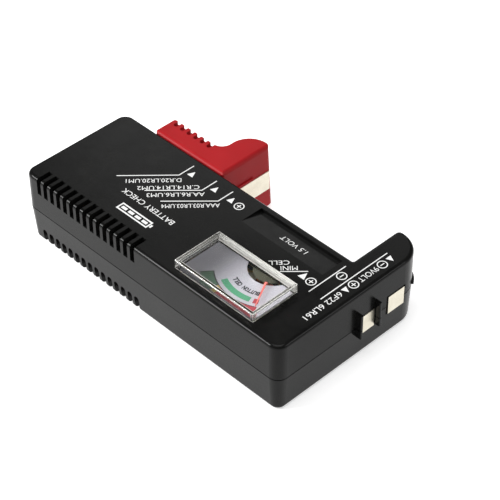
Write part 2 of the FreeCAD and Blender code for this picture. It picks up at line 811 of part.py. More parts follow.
def axis_height(body_r):
    """Height of a resistor's axis over the base, a little clear of the board."""
    return board_z[1] + body_r + 0.2


def resistor_leads(name):
    """The bent lead wires of one resistor, from its body down through the board."""
    y, body_r, body_l, pitch = resistors[name]
    bend_r = 0.8
    axis_z = axis_height(body_r)
    foot_z = board_z[0] - 0.8
    return [tube([(board_middle_x + side * body_l / 2, y, axis_z),
                  (board_middle_x + side * pitch / 2, y, axis_z),
                  (board_middle_x + side * pitch / 2, y, foot_z)], lead_r, bend_r) for side in (-1, 1)]


def resistor(name):
    """Axial resistor with a slightly waisted body."""
    y, body_r, body_l = resistors[name][:3]
    axis_z = axis_height(body_r)
    end_l = body_l * 0.25
    edge_r = 0.5
    waist_r = body_r * 0.85
    start = board_middle_x - body_l / 2
    end_starts = (start, start + body_l - end_l)
    ends = [Part.makeCylinder(body_r, end_l, V(x, y, axis_z), V(1, 0, 0)) for x in end_starts]
    ends = [end.makeFillet(edge_r, end.Edges[:1] + end.Edges[2:]) for end in ends]
    waist = Part.makeCylinder(waist_r, body_l - end_l, V(start + end_l / 2, y, axis_z), V(1, 0, 0))
    return join([waist] + ends + resistor_leads(name))


def circuit_board():
    """Small board that carries the load and series resistors."""
    board_r = 0.8
    hole_r = 0.9
    board = slab(rectangle(board_x, board_y, board_r), board_z)
    holes = [post(x, y, board_z, hole_r) for x, y in board_screws_at]
    leads = [lead for name in resistors for lead in resistor_leads(name)]
    return board.cut(holes + leads)


def red_wires():
    """Insulated positive leads from the contacts to the board and the meter."""
    widest_bend = 2.0
    top = board_z[1]
    from_rail = [(-12.0, 2.0, 9.0), (-12.0, -1.5, 9.0), (-12.0, -1.5, 7.6), (-12.0, -6.9, 7.6),
                 (-12.0, -6.9, top)]
    from_small_cell = [(38.4, 7.0, 8.6), (38.4, 3.8, 8.6), (38.4, 3.8, 3.6), (9.6, 3.8, 3.6),
                       (9.6, -10.5, 3.6), (9.6, -10.5, 8.0), (4.9, -10.5, 8.0), (4.9, -10.5, top)]
    routes = (from_rail, from_small_cell)
    bends = [min(widest_bend, shortest(route) * 0.45) for route in routes]
    return Part.makeCompound([tube(route, wire_r, bend_r) for route, bend_r in zip(routes, bends)])


def shortest(route):
    """Length of the shortest run of a route."""
    return min((V(*a) - V(*b)).Length for a, b in zip(route, route[1:]))


def black_wires():
    """Insulated negative lead from the arm to the meter."""
    route = [(47.0, 12.6, 8.6), (47.0, 9.0, 8.6), (47.0, 9.0, 3.8), (43.4, 5.4, 3.8), (43.4, -18.4, 3.8),
             (18.4, -18.4, 3.8), (18.4, -21.5, 3.8), (15.2, -21.5, 3.8)]
    return tube(route, wire_r, shortest(route) * 0.4)


nodes = {
    "top_shell": top_shell, "bottom_shell": bottom_shell, "case_screws": case_screws,
    "slider_jaw": slider_jaw, "slider_guide": slider_guide, "slider_screws": slider_screws,
    "slider_contact": slider_contact, "slider_wiper": slider_wiper, "contact_rail": contact_rail,
    "nine_volt_plus_contact": lambda: end_contact(plus_y, plus_z, 0),
    "nine_volt_minus_contact": lambda: end_contact(minus_y, minus_z, 1.6),
    "arm_contact": arm_contact, "mini_cell_contact": mini_cell_contact,
    "meter_cover": meter_cover, "meter_base": meter_base, "meter_dial": meter_dial,
    "meter_yoke": meter_yoke, "meter_magnet": meter_magnet, "core_supports": core_supports,
    "lower_bridge": lower_bridge, "upper_bridge": upper_bridge, "bridge_screws": bridge_screws,
    "jewel_screws": jewel_screws, "moving_coil": moving_coil, "coil_staffs": coil_staffs,
    "meter_needle": meter_needle, "hairsprings": hairsprings, "meter_terminals": meter_terminals,
    "meter_screws": meter_screws, "circuit_board": circuit_board, "board_screws": board_screws,
    "red_wires": red_wires, "black_wires": black_wires,
}

os.makedirs("parts", exist_ok=True)
shapes = {name: build() for name, build in nodes.items()}
shapes.update({name: resistor(name) for name in resistors})
for name, shape in shapes.items():
    shape.translate(to_middle)
    shape.exportStep("parts/" + name + ".step")
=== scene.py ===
"""Looks of a pocket battery tester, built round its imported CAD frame.

Blender works in metres. Places on the object are given in millimetres from the point that the CAD
measures from, under the middle of the case. piece() moves them into the frame by TO_FRAME and turns
them into metres by MM. +X is the end with the 9 V contacts, -Y the vented side, +Y the slider's side.
"""
import json
import math

import bmesh
import bpy
from mathutils import Matrix, Vector


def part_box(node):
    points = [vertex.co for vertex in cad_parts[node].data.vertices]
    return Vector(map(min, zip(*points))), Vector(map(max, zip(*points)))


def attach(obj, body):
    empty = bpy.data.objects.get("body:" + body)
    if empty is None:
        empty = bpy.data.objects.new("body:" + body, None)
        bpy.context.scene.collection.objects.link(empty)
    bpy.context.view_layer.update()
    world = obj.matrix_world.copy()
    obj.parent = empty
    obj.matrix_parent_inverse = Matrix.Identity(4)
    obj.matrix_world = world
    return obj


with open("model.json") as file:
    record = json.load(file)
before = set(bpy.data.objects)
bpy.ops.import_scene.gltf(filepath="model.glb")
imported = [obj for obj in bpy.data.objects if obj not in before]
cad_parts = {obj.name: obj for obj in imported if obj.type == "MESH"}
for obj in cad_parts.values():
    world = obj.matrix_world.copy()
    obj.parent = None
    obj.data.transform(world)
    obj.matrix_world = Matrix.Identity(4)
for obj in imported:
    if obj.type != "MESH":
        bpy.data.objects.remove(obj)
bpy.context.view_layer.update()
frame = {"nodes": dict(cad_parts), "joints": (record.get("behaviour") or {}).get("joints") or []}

MM = 0.001
TO_FRAME = Vector((-1.0, -0.5, 0.0))


def from_frame(point):
    """A place in the frame, turned into the script's own millimetres."""
    return Vector(point) / MM - TO_FRAME


def raised_part(node, level):
    """Lowest and highest corner, in millimetres, of what a CAD node has above a level."""
    vertices = frame["nodes"][node].data.vertices
    points = [from_frame(vertex.co) for vertex in vertices if vertex.co.z > level * MM]
    low = [min(point[axis] for point in points) for axis in range(3)]
    high = [max(point[axis] for point in points) for axis in range(3)]
    return low, high


def joint_place(name):
    """The point that a joint turns about, in millimetres."""
    return next(from_frame(joint["pos_m"]) for joint in frame["joints"] if joint["name"] == name)


TOP_Z = from_frame(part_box("top_shell")[1]).z
DIAL_LOW, DIAL_HIGH = (from_frame(corner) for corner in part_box("meter_dial"))
WINDOW_LOW, WINDOW_HIGH = raised_part("meter_cover", TOP_Z)
PIVOT = joint_place("needle_swing").xy

# Thickness of every printed plate, which lies half in the surface.
INK = 0.03


# ---------------------------------------------------------------- materials

# Sockets of a Mix node that mixes colours, and the length of a wave texture's period at a scale of 1.
SHARE, FIRST, SECOND, MIXED = 0, 6, 7, 2
WAVE_PERIOD = 0.314


class Paint:
    """A new material on a Principled shader, with short ways to add procedural detail."""

    def __init__(self, name, roughness=0.5, metallic=0.0):
        self.material = bpy.data.materials.new(name)
        self.material.use_nodes = True
        self.nodes = self.material.node_tree.nodes
        self.links = self.material.node_tree.links
        self.bsdf = self.nodes["Principled BSDF"]
        self.bsdf.inputs["Roughness"].default_value = roughness
        self.bsdf.inputs["Metallic"].default_value = metallic
        self.place = self.nodes.new("ShaderNodeTexCoord").outputs["Object"]
        self.relief = None

    def set(self, **values):
        """Set plain numbers or colours on the shader's own sockets."""
        for name, value in values.items():
            self.bsdf.inputs[name.replace("_", " ")].default_value = value
        return self

    def stretched(self, scale):
        """Coordinates scaled along each axis."""
        mapping = self.nodes.new("ShaderNodeMapping")
        mapping.inputs["Scale"].default_value = scale
        self.links.new(self.place, mapping.inputs["Vector"])
        return mapping.outputs["Vector"]

    def noise(self, size_mm, detail=2.0, stretch=(1, 1, 1), rough=0.5):
        """Noise whose features are about size_mm across."""
        node = self.nodes.new("ShaderNodeTexNoise")
        node.inputs["Scale"].default_value = 1 / (size_mm * MM)
        node.inputs["Detail"].default_value = detail
        node.inputs["Roughness"].default_value = rough
        self.links.new(self.stretched(stretch), node.inputs["Vector"])
        return node.outputs["Fac"]

    def stripes(self, pitch_mm, axis):
        """Bands across one axis, one every pitch_mm."""
        node = self.nodes.new("ShaderNodeTexWave")
        node.bands_direction = axis
        node.inputs["Scale"].default_value = WAVE_PERIOD / (pitch_mm * MM)
        self.links.new(self.place, node.inputs["Vector"])
        return node.outputs["Fac"]

    def cells(self, size_mm):
        """Distance to the middle of irregular cells."""
        node = self.nodes.new("ShaderNodeTexVoronoi")
        node.inputs["Scale"].default_value = 1 / (size_mm * MM)
        self.links.new(self.place, node.inputs["Vector"])
        return node.outputs["Distance"]

    def along(self, direction):
        """Millimetres along a direction in the frame."""
        node = self.nodes.new("ShaderNodeVectorMath")
        node.operation = "DOT_PRODUCT"
        node.inputs[1].default_value = Vector(direction).normalized() / MM
        self.links.new(self.place, node.inputs[0])
        return node.outputs["Value"]

    def spread(self, source, low, high, start=0.3, stop=0.7, easing="LINEAR"):
        """A number from low to high as source goes from start to stop."""
        node = self.nodes.new("ShaderNodeMapRange")
        node.interpolation_type = easing
        node.inputs["From Min"].default_value = start
        node.inputs["From Max"].default_value = stop
        node.inputs["To Min"].default_value = low
        node.inputs["To Max"].default_value = high
        self.links.new(source, node.inputs["Value"])
        return node.outputs["Result"]

    def colour(self, source, low, high, start=0.3, stop=0.7):
        """Colour the surface from low to high as source goes from start to stop."""
        node = self.nodes.new("ShaderNodeMix")
        node.data_type = "RGBA"
        node.inputs[FIRST].default_value = (*low, 1)
        node.inputs[SECOND].default_value = (*high, 1)
        self.links.new(self.spread(source, 0, 1, start, stop), node.inputs[SHARE])
        self.links.new(node.outputs[MIXED], self.bsdf.inputs["Base Color"])
        return self

    def shade(self, source, low, start, stop):
        """Darken the colour to a share of itself where source is at start, and not at all at stop."""
        node = self.nodes.new("ShaderNodeMix")
        node.data_type = "RGBA"
        node.blend_type = "MULTIPLY"
        node.inputs[SHARE].default_value = 1.0
        self.links.new(self.bsdf.inputs["Base Color"].links[0].from_socket, node.inputs[FIRST])
        self.links.new(self.spread(source, low, 1.0, start, stop, "SMOOTHSTEP"), node.inputs[SECOND])
        self.links.new(node.outputs[MIXED], self.bsdf.inputs["Base Color"])
        return self

    def gloss(self, source, low, high):
        """Vary the roughness from low to high."""
        self.links.new(self.spread(source, low, high), self.bsdf.inputs["Roughness"])
        return self

    def bump(self, source, depth_mm):
        """Add relief, on top of any added before."""
        node = self.nodes.new("ShaderNodeBump")
        node.inputs["Distance"].default_value = depth_mm * MM
        node.inputs["Strength"].default_value = 1.0
        self.links.new(source, node.inputs["Height"])
        if self.relief is not None:
            self.links.new(self.relief, node.inputs["Normal"])
        self.relief = node.outputs["Normal"]
        self.links.new(self.relief, self.bsdf.inputs["Normal"])
        return self


def moulded(name, dark, light, roughness):
    """Injection-moulded plastic: spark-eroded grain, faint flow marks and handling haze."""
    paint = Paint(name)
    paint.colour(paint.noise(9, 3), dark, light)
    haze = paint.noise(4.5, 4, rough=0.6)
    grain = paint.noise(0.28)
    flow_marks = paint.noise(2.2, stretch=(0.3, 1, 1))
    paint.gloss(haze, *roughness)
    paint.bump(grain, 0.006)
    paint.bump(flow_marks, 0.006)
    return paint


def case_black():
    """Black case: smooth, with only a faint reflection."""
    paint = moulded("case_black", (0.0050, 0.0051, 0.0049), (0.0074, 0.0074, 0.0070), (0.17, 0.26))
    return paint.set(Specular_IOR_Level=0.115)


def slider_red():
    """Red jaw: duller than the case, and light goes a little way into it."""
    paint = moulded("slider_red", (0.345, 0.0105, 0.0135), (0.395, 0.0145, 0.018), (0.34, 0.46))
    paint.set(Specular_IOR_Level=0.11)
    depths = (0.8 * MM, 0.12 * MM, 0.1 * MM)
    return paint.set(Subsurface_Weight=0.15, Subsurface_Radius=depths, Subsurface_Scale=1.0)


def clear_cover():
    """Clear acrylic. Rays from lamps pass straight through, so that the dial is lit."""
    paint = Paint("clear_cover", roughness=0.02)
    paint.set(Base_Color=(0.93, 0.93, 0.92, 1), Transmission_Weight=1.0, IOR=1.49)
    paint.gloss(paint.noise(6, 3), 0.01, 0.05)
    paint.bump(paint.noise(5, 1), 0.004)
    nodes, links = paint.nodes, paint.links
    path = nodes.new("ShaderNodeLightPath")
    through = nodes.new("ShaderNodeBsdfTransparent")
    through.inputs["Color"].default_value = (0.70, 0.70, 0.69, 1)
    mix = nodes.new("ShaderNodeMixShader")
    links.new(path.outputs["Is Shadow Ray"], mix.inputs[0])
    links.new(paint.bsdf.outputs[0], mix.inputs[1])
    links.new(through.outputs[0], mix.inputs[2])
    links.new(mix.outputs[0], nodes["Material Output"].inputs["Surface"])
    return paint


def paper_print(name, dark, light):
    """Screen-printed ink with slightly uneven cover and a soft orange-peel surface."""
    paint = Paint(name)
    paint.colour(paint.noise(0.5, 3, rough=0.65), dark, light, 0.3, 0.62)
    paint.gloss(paint.noise(1.2), 0.4, 0.55)
    return paint.bump(paint.noise(0.2), 0.003)


def dial_print(name, dark, light):
    """Ink or paper of the dial, with painted shadow that darkens it towards its -X end and its near edge."""
    paint = paper_print(name, dark, light)
    # Painted shadow: darker towards the -X end and towards the near edge.
    paint.shade(paint.along((1, 0, 0)), 0.2, 14.0, 30.5)
    return paint.shade(paint.along((0, 1, 0)), 0.35, -26.2, -24.8)


def metal(name, dark, light, roughness):
    """Plated or drawn metal with fine lines along X and duller patches."""
    paint = Paint(name, metallic=1.0)
    paint.colour(paint.noise(3.5, 3), dark, light)
    lines = paint.noise(0.35, 3, stretch=(0.06, 1, 1))
    paint.gloss(lines, *roughness)
    return paint.bump(lines, 0.002)


def ground_iron(name, dark, light, roughness):
    """Sintered or ground iron with a fine pitted surface."""
    paint = Paint(name, metallic=0.15)
    paint.colour(paint.noise(1.2, 4), dark, light)
    paint.gloss(paint.noise(0.6, 3), *roughness)
    return paint.bump(paint.cells(0.3), 0.01)


def needle_paint():
    """Salmon-red fluorescent paint, a little thin at the edges."""
    paint = Paint("needle_paint")
    paint.colour(paint.noise(1.5), (0.86, 0.17, 0.15), (0.93, 0.24, 0.2))
    paint.gloss(paint.noise(0.8), 0.35, 0.5)
    return paint.bump(paint.noise(0.3), 0.002)


def winding():
    """Enamelled copper wire, turn beside turn."""
    paint = Paint("copper_wire", metallic=0.9)
    turns = paint.stripes(0.16, "Z")
    paint.colour(turns, (0.30, 0.075, 0.028), (0.68, 0.24, 0.10), 0.1, 0.9)
    paint.gloss(paint.noise(0.8), 0.2, 0.34)
    return paint.bump(turns, 0.02)


def board_base():
    """Phenolic paper board: warm brown with fine fibres."""
    paint = Paint("board")
    fibres = paint.noise(0.5, 4, stretch=(0.25, 1, 1), rough=0.7)
    paint.colour(fibres, (0.28, 0.15, 0.05), (0.44, 0.27, 0.11))
    paint.gloss(fibres, 0.35, 0.55)
    return paint.bump(fibres, 0.006)


def resistor_body():
    """Tan conformal coating with an uneven, glossy skin."""
    paint = Paint("resistor_body")
    paint.colour(paint.noise(1.4, 3), (0.44, 0.30, 0.16), (0.58, 0.43, 0.26))
    ripples = paint.noise(0.9)
    paint.gloss(ripples, 0.16, 0.3)
    return paint.bump(ripples, 0.02)


def insulation(name, dark, light):
    """Soft PVC round a wire, with faint drawing lines."""
    paint = Paint(name)
    paint.colour(paint.noise(1.6, 3), dark, light)
    paint.gloss(paint.noise(0.8), 0.26, 0.4)
    return paint.bump(paint.noise(0.25), 0.004)


FINISHES = {
    "case_black": case_black,
    "slider_red": slider_red,
    "clear_cover": clear_cover,
    # The dial's paper carries painted shadow, added by dial_print.
    "dial_print": lambda: dial_print("dial_print", (0.50, 0.49, 0.56), (0.58, 0.57, 0.64)),
    "needle_paint": needle_paint,
    "nickel": lambda: metal("nickel", (0.73, 0.68, 0.555), (0.84, 0.79, 0.66), (0.26, 0.38)),
    "brass": lambda: metal("brass", (0.60, 0.40, 0.14), (0.74, 0.53, 0.22), (0.24, 0.38)),
    "steel": lambda: metal("steel", (0.46, 0.47, 0.48), (0.62, 0.62, 0.62), (0.24, 0.4)),
    # Painted light: soft_iron and magnet_grey are much lighter than bare iron, so that the movement looks lit
    # while it sits in shade under the case top.
    "soft_iron": lambda: ground_iron("soft_iron", (0.60, 0.58, 0.43), (0.75, 0.72, 0.55), (0.34, 0.5)),
    "magnet_grey": lambda: ground_iron("magnet_grey", (0.50, 0.485, 0.365), (0.64, 0.62, 0.48), (0.4, 0.6)),
    "aluminium": lambda: metal("aluminium", (0.66, 0.67, 0.68), (0.78, 0.78, 0.8), (0.28, 0.42)),
    "copper_wire": winding,
    "bronze": lambda: metal("bronze", (0.50, 0.29, 0.12), (0.66, 0.42, 0.2), (0.22, 0.36)),
    # Painted light: the tray is coloured lighter than its own plastic, as the inside of the meter sits in
    # shade.
    "tray_plastic": lambda: moulded("tray_plastic", (0.19, 0.18, 0.115), (0.25, 0.235, 0.155), (0.4, 0.55)),
    "guide_plastic": lambda: moulded("guide_plastic", (0.52, 0.49, 0.42), (0.62, 0.59, 0.52), (0.3, 0.42)),
    "board": board_base,
    "resistor_body": resistor_body,
    "red_insulation": lambda: insulation("red_insulation", (0.42, 0.012, 0.012), (0.56, 0.022, 0.02)),
    "black_insulation": lambda: insulation("black_insulation", (0.014, 0.014, 0.014), (0.024, 0.024, 0.024)),
}


def dress_frame():
    """Give every CAD node its finished material, by the slot that it was packed with."""
    finished = {slot: make().material for slot, make in FINISHES.items()}
    for node in frame["nodes"].values():
        for place in node.material_slots:
            place.material = finished[place.material.name.split(".")[0]]


# ---------------------------------------------------------------- flat printed shapes

def mesh_of(curve):
    """Mesh of a curve or text that is in no scene."""
    holder = bpy.data.objects.new("holder", curve)
    mesh = bpy.data.meshes.new_from_object(holder)
    bpy.data.objects.remove(holder)
    return mesh


def filled(outlines, thickness=INK):
    """Thin closed plate on outlines in millimetres; an outline inside another is a hole."""
    curve = bpy.data.curves.new("outline", "CURVE")
    curve.dimensions = "2D"
    curve.fill_mode = "BOTH"
    curve.extrude = thickness / 2
    for outline in outlines:
        spline = curve.splines.new("POLY")
        spline.points.add(len(outline) - 1)
        for point, (x, y) in zip(spline.points, outline):
            point.co = (x, y, 0, 1)
        spline.use_cyclic_u = True
    return mesh_of(curve)


def lettering(words, length, height, weight=0.0):
    """Thin plate of letters, stretched to a length and cap height, that starts at its lower left."""
    curve = bpy.data.curves.new("letters", "FONT")
    curve.body = words
    curve.extrude = INK / 2
    curve.offset = weight
    curve.resolution_u = 4
    mesh = mesh_of(curve)
    xs = [v.co.x for v in mesh.vertices]
    ys = [v.co.y for v in mesh.vertices]
    fit = Matrix.Diagonal((length / (max(xs) - min(xs)), height / (max(ys) - min(ys)), 1, 1))
    mesh.transform(fit @ Matrix.Translation((-min(xs), -min(ys), 0)))
    return mesh


def grow(span, by):
    """A (low, high) pair moved outwards by so much at each end."""
    return (span[0] - by, span[1] + by)


def rectangle(x, y):
    """Outline of a rectangle from its (low, high) pairs."""
    return [(x[0], y[0]), (x[1], y[0]), (x[1], y[1]), (x[0], y[1])]


def circle(x, y, r):
    """Outline of a circle."""
    count = 40
    angles = [2 * math.pi * i / count for i in range(count)]
    return [(x + r * math.cos(a), y + r * math.sin(a)) for a in angles]


def bar(start, stop, width):
    """Outline of a straight line of ink, which runs a little past its ends."""
    half_width, overrun = width / 2, 0.3
    along = (Vector(stop) - Vector(start)).normalized() * half_width
    side = Vector((-along.y, along.x))
    a, b = Vector(start) - along * overrun, Vector(stop) + along * overrun
    return [tuple(a - side), tuple(b - side), tuple(b + side), tuple(a + side)]


def elbow(points, width):
    """Outline of a bent line of ink through three points."""
    a, b, c = (Vector(p) for p in points)
    first, second = (b - a).normalized(), (c - b).normalized()
    off_first = Vector((-first.y, first.x)) * width / 2
    off_second = Vector((-second.y, second.x)) * width / 2
    mitre = (off_first + off_second).normalized()
    mitre *= (width / 2) / mitre.dot(off_first.normalized())
    one_side = [a + off_first, b + mitre, c + off_second]
    other_side = [c - off_second, b - mitre, a - off_first]
    return [tuple(point) for point in one_side + other_side]


def arrow(x, y, heading, size):
    """Triangle about a point, with its tip towards heading."""
    ahead = Vector(heading).normalized()
    side = Vector((-ahead.y, ahead.x)) * size * 0.52
    middle = Vector((x, y))
    tip = middle + ahead * size * 0.6
    back = middle - ahead * size * 0.5
    return [tuple(tip), tuple(back + side), tuple(back - side)]


def sign(x, y, plus, turn_deg=0.0):
    """Plates of a circled plus or minus. The upright of a plus is two bars that meet its crossbar."""
    r, width = 1.6, 0.32
    a = math.radians(turn_deg)
    along, across = Vector((math.cos(a), math.sin(a))), Vector((-math.sin(a), math.cos(a)))
    middle, reach = Vector((x, y)), r * 0.46
    plates = [filled([circle(x, y, r), circle(x, y, r - width)])]
    plates.append(filled([bar(middle - along * reach, middle + along * reach, width)]))
    if plus:
        for end in (-1, 1):
            inner, outer = across * end * width / 2, across * end * reach
            plates.append(filled([bar(middle + inner, middle + outer, width)]))
    return plates


def placed(mesh, at, reading, up):
    """Move a plate from its own plane to a point in millimetres, along two directions."""
    right, top = Vector(reading).normalized(), Vector(up).normalized()
    normal = right.cross(top)
    turn = Matrix((right, top, normal)).transposed().to_4x4()
    mesh.transform(Matrix.Translation(at) @ turn)
    return mesh


def piece(name, meshes, material, body):
    """One object from several meshes, riding on a CAD body."""
    whole = bmesh.new()
    for mesh in meshes:
        whole.from_mesh(mesh)
        bpy.data.meshes.remove(mesh)
    data = bpy.data.meshes.new(name)
    whole.to_mesh(data)
    whole.free()
    data.transform(Matrix.Scale(MM, 4) @ Matrix.Translation(TO_FRAME))
    obj = bpy.data.objects.new(name, data)
    bpy.context.scene.collection.objects.link(obj)
    data.materials.append(material)
    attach(obj, body)


# ---------------------------------------------------------------- print on the case

# Directions of the words, the width of lines, and the height of cell names and of other words.
LEFT = (-1, 0, 0)
RIGHT = (1, 0, 0)
NEAR = (0, -1, 0)
DIAGONAL = Vector((-0.685, -0.728, 0))
DIAGONAL_UP = Vector((0.728, -0.685, 0))
LINE_W = 0.34
NAME_H = 1.75
LABEL_H = 1.95

# Each mark of the jaw's scale: where it stands, and how far its slanted leader reaches from the bend.
BEND_Y = 1.05
LEADER_HEAD_Y = 7.1
LONG_LEADER = (-12.8, -13.3)
SHORT_LEADER = (-11.776, -11.97)
JAW_MARKS = {"D": (-19.3, LONG_LEADER), "C": (-9.4, SHORT_LEADER), "AAA": (-2.5, SHORT_LEADER)}

# Each cell's sizes: the mark, the length of the words, and their start along and across from the bend.
CELL_NAMES = {
    "D.R20.LR20.UM1": ("D", 16.4, -0.75, 1.5),
    "C.R14.LR14.UM2": ("C", 18.3, 0.7, -2.35),
    "AA.R6.LR6.UM3": ("C", 17.0, -0.85, 0.95),
    "AAA.R03.LR03.UM4": ("AAA", 17.0, -0.5, 1.05),
}


def on_top(meshes):
    """Lift plates to the case's top face."""
    for mesh in meshes:
        mesh.transform(Matrix.Translation((0, 0, TOP_Z)))
    return meshes


def jaw_scale(ink):
    """Bent leader lines that show where the jaw goes for each cell size, with the sizes beside them."""
    arrow_from_line, arrow_y, arrow_size = 2.45, 4.15, 2.15
    marks = []
    for x, (reach_x, reach_y) in JAW_MARKS.values():
        leader = [(x + reach_x, BEND_Y + reach_y), (x, BEND_Y), (x, LEADER_HEAD_Y)]
        marks.append(filled([elbow(leader, LINE_W)]))
        marks.append(filled([arrow(x + arrow_from_line, arrow_y, (0, 1), arrow_size)]))
    names = []
    for words, (mark, length, along, across) in CELL_NAMES.items():
        bend = Vector((JAW_MARKS[mark][0], BEND_Y, 0))
        start = bend + DIAGONAL * along + DIAGONAL_UP * across
        names.append(placed(lettering(words, length, NAME_H), start, DIAGONAL, DIAGONAL_UP))
    piece("print_jaw_marks", on_top(marks), ink, "case")
    piece("print_cell_names", on_top(names), ink, "case")
    piece("print_cell_plus", on_top(sign(3.5, 3.75, True)), ink, "case")


def title(ink):
    """Plain description of the tool."""
    words = placed(lettering("BATTERY CHECK", 21.6, LABEL_H), (-4.3, -14.1, 0), LEFT, NEAR)
    piece("print_title", on_top([words]), ink, "case")


def battery_drawing(ink):
    """Outline of a battery with a nub on its end and four bars of charge."""
    x, y, outline_w = (-21.4, -8.4), (-21.9, -18.9), 0.5
    nub_x, nub_inset = (x[1] + 0.25, x[1] + 0.9), 0.9
    first_x, pitch, charge_w, charge_inset = x[0] + 1.1, 2.9, 2.1, 1.0
    drawing = [filled([rectangle(x, y), rectangle(grow(x, -outline_w), grow(y, -outline_w))])]
    drawing.append(filled([rectangle(nub_x, grow(y, -nub_inset))]))
    for start in (first_x + i * pitch for i in range(4)):
        drawing.append(filled([rectangle((start, start + charge_w), grow(y, -charge_inset))]))
    piece("print_battery_drawing", on_top(drawing), ink, "case")


def recess_label(ink):
    """Voltage of the round cells, on the sloped floor of the finger recess."""
    inner_y, slope = -0.3, 1.2 / 8.2
    start_x, start_y = 31.0, 4.4
    start = (start_x, start_y, TOP_Z - slope * (start_y - inner_y))
    words = placed(lettering("1.5 VOLT", 9.8, 1.9), start, LEFT, (0, -1, slope))
    piece("print_cell_voltage", [words], ink, "case")


def mini_cell_label(ink):
    """Label and arrow of the contact for button cells."""
    foot, head = (31.65, -7.66), (37.1, -2.1)
    row_pitch = 2.35
    plates = [filled([bar(foot, head, LINE_W)]), filled([arrow(37.5, -4.2, (0, 1), 2.4)])]
    for row, words, length, along in ((1, "MINI", 4.8, 2.8), (2, "CELL", 5.85, 5.0)):
        start = Vector((*head, 0)) + DIAGONAL * along - DIAGONAL_UP * (row * row_pitch)
        plates.append(placed(lettering(words, length, NAME_H), start, DIAGONAL, DIAGONAL_UP))
    piece("print_mini_cell", on_top(plates), ink, "case")
    piece("print_mini_cell_plus", on_top(sign(40.6, -4.5, True)), ink, "case")


def end_labels(ink):
    """Rules, arrows and signs that mark the 9 V end and the arm."""
    cell_rule_x, arm_rule_x, column_x = 43.0, 47.4, 49.7
    words_x = column_x - 0.95
    plates = [filled([bar((cell_rule_x, -7.8), (cell_rule_x, 6.9), LINE_W)]),
              filled([bar((arm_rule_x, -7.7), (arm_rule_x, 19.2), LINE_W)])]
    plates += [filled([arrow(column_x, y, (1, 0), 2.0)]) for y in (18.1, -0.1)]
    words = [placed(lettering("9VOLT", 7.3, LABEL_H), (words_x, 12.6, 0), NEAR, RIGHT),
             placed(lettering("6F22 6LR61", 14.3, LABEL_H), (words_x, -2.0, 0), NEAR, RIGHT)]
    signs = sign(column_x, 14.7, False, 90) + sign(column_x, 3.0, True) + sign(45.0, 3.2, False, 90)
    piece("print_end_rules", on_top(plates), ink, "case")
    piece("print_end_words", on_top(words), ink, "case")
    piece("print_end_signs", on_top(signs), ink, "case")


# ---------------------------------------------------------------- print on the dial

# Inner and outer radius of the scale's two bands, and where print stops short of the dial's near edge.
OUTER_BAND = (16.7, 20.6)
INNER_BAND = (13.5, 15.4)
PRINT_EDGE_Y = DIAL_LOW.y + 0.1


def polar(angle_deg, r):
    """Point on the dial: angle from -Y towards +X, radius from the pivot."""
    a = math.radians(angle_deg)
    return (PIVOT[0] + r * math.sin(a), PIVOT[1] - r * math.cos(a))


def on_dial(angle_deg, r):
    """The same, stopped just inside the dial's near edge."""
    reach = (PIVOT[1] - PRINT_EDGE_Y) / math.cos(math.radians(angle_deg))
    return polar(angle_deg, min(r, reach))


def band(start_deg, stop_deg, radii):
    """Plate on a ring sector of the dial's scale."""
    degrees_a_step = 2
    steps = max(2, int(abs(stop_deg - start_deg) / degrees_a_step))
    angles = [start_deg + (stop_deg - start_deg) * i / steps for i in range(steps + 1)]
    return filled([[on_dial(a, radii[0]) for a in angles] + [on_dial(a, radii[1]) for a in reversed(angles)]])


def dial_letters(words, r, start_deg, stop_deg, height):
    """Letters one by one along an arc, feet towards the pivot."""
    plates = []
    for i, letter in enumerate(words):
        if letter == " ":
            continue
        angle = start_deg + (stop_deg - start_deg) * i / (len(words) - 1)
        a = math.radians(angle)
        up = Vector((math.sin(a), -math.cos(a), 0))
        right = Vector((-math.cos(a), -math.sin(a), 0))
        width = height * (0.2 if letter == "I" else 0.62)
        foot = Vector((*polar(angle, r), 0)) - right * width / 2
        plates.append(placed(lettering(letter, width, height, 0.05), foot, right, up))
    return plates


def at_dial(meshes, level=0):
    """Lift plates to the dial; a higher level prints over a lower one."""
    for mesh in meshes:
        mesh.transform(Matrix.Translation((0, 0, DIAL_HIGH.z + level * INK / 2)))
    return meshes


def dial_face():
    """Coloured scale bands, their outlines and the lettering."""
    # Every ink carries the painted shadow that dial_print adds.
    red = dial_print("dial_red", (0.40, 0.042, 0.062), (0.48, 0.065, 0.088)).material
    green = dial_print("dial_green", (0.075, 0.32, 0.175), (0.105, 0.39, 0.225)).material
    teal = dial_print("dial_teal", (0.062, 0.155, 0.095), (0.095, 0.20, 0.125)).material
    yellow = dial_print("dial_yellow", (0.50, 0.38, 0.07), (0.59, 0.46, 0.12)).material
    dark = dial_print("dial_dark", (0.018, 0.02, 0.026), (0.036, 0.038, 0.048)).material

    low = [band(29, -15.1, OUTER_BAND), band(28.7, 22.6, INNER_BAND)]
    piece("dial_low_zone", at_dial(low), red, "case")
    piece("dial_weak_zone", at_dial([band(-15.1, -20, OUTER_BAND)]), yellow, "case")
    piece("dial_good_zone", at_dial([band(-20.3, -40.6, OUTER_BAND)]), teal, "case")
    piece("dial_cell_zone", at_dial([band(18.7, -26, INNER_BAND)]), green, "case")
    edges = [band(-20.3, -21.2, OUTER_BAND), band(-20.3, -40.6, (16.5, 16.9)),
             band(-39.9, -40.8, OUTER_BAND), band(29, -20.3, (16.55, 16.75))]
    piece("dial_zone_edges", at_dial(edges, 1), dark, "case")
    words = dial_letters("BUTTON CELL", 10.7, 23, -22, 1.55)
    piece("dial_words", at_dial(words), dark, "case")


